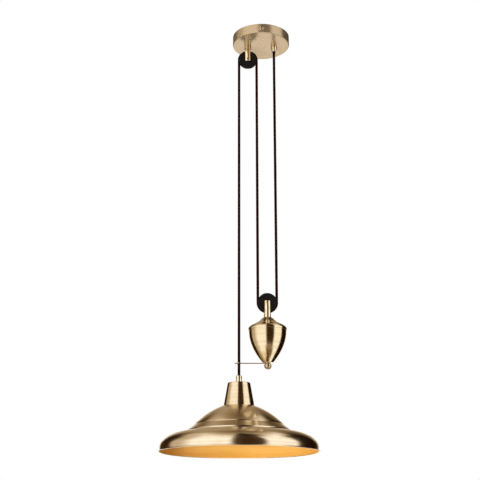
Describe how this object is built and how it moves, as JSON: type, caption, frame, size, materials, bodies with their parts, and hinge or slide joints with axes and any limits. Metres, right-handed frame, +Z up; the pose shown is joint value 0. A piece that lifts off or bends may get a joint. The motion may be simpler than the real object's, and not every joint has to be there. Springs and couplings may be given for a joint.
{
  "type": "rise and fall pendant",
  "caption": "Ceiling pendant whose flex runs over two wheels, with a counterweight that balances a wide spun shade as it is pulled up or down.",
  "frame": {"origin": "middle of the ceiling rose, on the ceiling plane that its bracket lies on", "axes": "+Z up towards the ceiling; X across the row of hanging flexes, with the lamp on the -X side; the wheels turn about Y"},
  "size_m": [0.3999, 0.4, 1.127],
  "materials": {
    "antique_brass": "satin",
    "polished_brass": "polished",
    "zinc_steel": "satin",
    "black_plastic": "satin",
    "black_phenolic": "satin",
    "flex_braid": "matte",
    "core_insulation": "satin",
    "cast_iron": "matte",
    "white_nylon": "satin",
    "steatite": "matte"
  },
  "bodies": {
    "root": {"ceiling_bracket": "zinc_steel", "rose_cover": "antique_brass", "rose_screws": "polished_brass", "rose_washers": "polished_brass", "terminal_block": "white_nylon", "terminal_barrels": "polished_brass", "terminal_screws": "zinc_steel", "earth_terminal": "polished_brass", "yoke_washer": "zinc_steel", "yoke_screw": "zinc_steel", "upper_yoke": "polished_brass", "upper_axle": "polished_brass", "gland_body": "polished_brass", "gland_insert": "black_plastic", "gland_nut": "polished_brass", "flex_rose_tail": "flex_braid", "rose_cores": "core_insulation", "flex_gland_fall": "flex_braid", "flex_middle_fall": "flex_braid", "flex_upper_wrap": "flex_braid", "flex_lamp_fall": "flex_braid"},
    "upper_pulley": {"upper_wheel": "black_plastic", "upper_bush": "polished_brass"},
    "counterweight": {"lower_yoke": "polished_brass", "lower_axle": "polished_brass", "weight_cap": "antique_brass", "weight_body": "antique_brass", "weight_core": "cast_iron", "tie_rod": "zinc_steel", "guide_arm": "polished_brass", "ball_finial": "polished_brass", "flex_lower_wrap": "flex_braid"},
    "lower_pulley": {"lower_wheel": "black_plastic", "lower_bush": "polished_brass"},
    "lamp": {"lamp_grip": "polished_brass", "grip_screw": "polished_brass", "flex_lamp_tail": "flex_braid", "hollow_nipple": "zinc_steel", "nipple_nut": "zinc_steel", "gallery_cup": "antique_brass", "holder_cap": "black_phenolic", "insulator_screws": "zinc_steel", "holder_insulator": "steatite", "holder_terminals": "polished_brass", "holder_cores": "core_insulation", "centre_contact": "polished_brass", "screw_shell": "polished_brass", "holder_body": "black_phenolic", "shade_ring": "black_phenolic", "shade": "antique_brass"}
  },
  "joints": [
    {"name": "lamp_slide", "type": "slide", "parent": "root", "child": "lamp", "axis": [0, 0, 1], "range_m": [-0.8, 0.0195], "deforming": ["flex_lamp_fall"]},
    {"name": "weight_slide", "type": "slide", "parent": "root", "child": "counterweight", "axis": [0, 0, 1], "range_m": [-0.00975, 0.4], "deforming": ["flex_gland_fall", "flex_middle_fall"]},
    {"name": "upper_wheel_spin", "type": "hinge", "parent": "root", "child": "upper_pulley", "pos_m": [-0.0365, 0, -0.068], "axis": [0, 1, 0], "continuous": true},
    {"name": "lower_wheel_spin", "type": "hinge", "parent": "counterweight", "child": "lower_pulley", "pos_m": [0.0115, 0, -0.754], "axis": [0, 1, 0], "continuous": true}
  ],
  "couplings": [
    {"joint": "weight_slide", "follows": "lamp_slide", "ratio": -0.5},
    {"joint": "upper_wheel_spin", "follows": "lamp_slide", "rad_per_m": 41.667},
    {"joint": "lower_wheel_spin", "follows": "lamp_slide", "rad_per_m": -20.833}
  ]
}
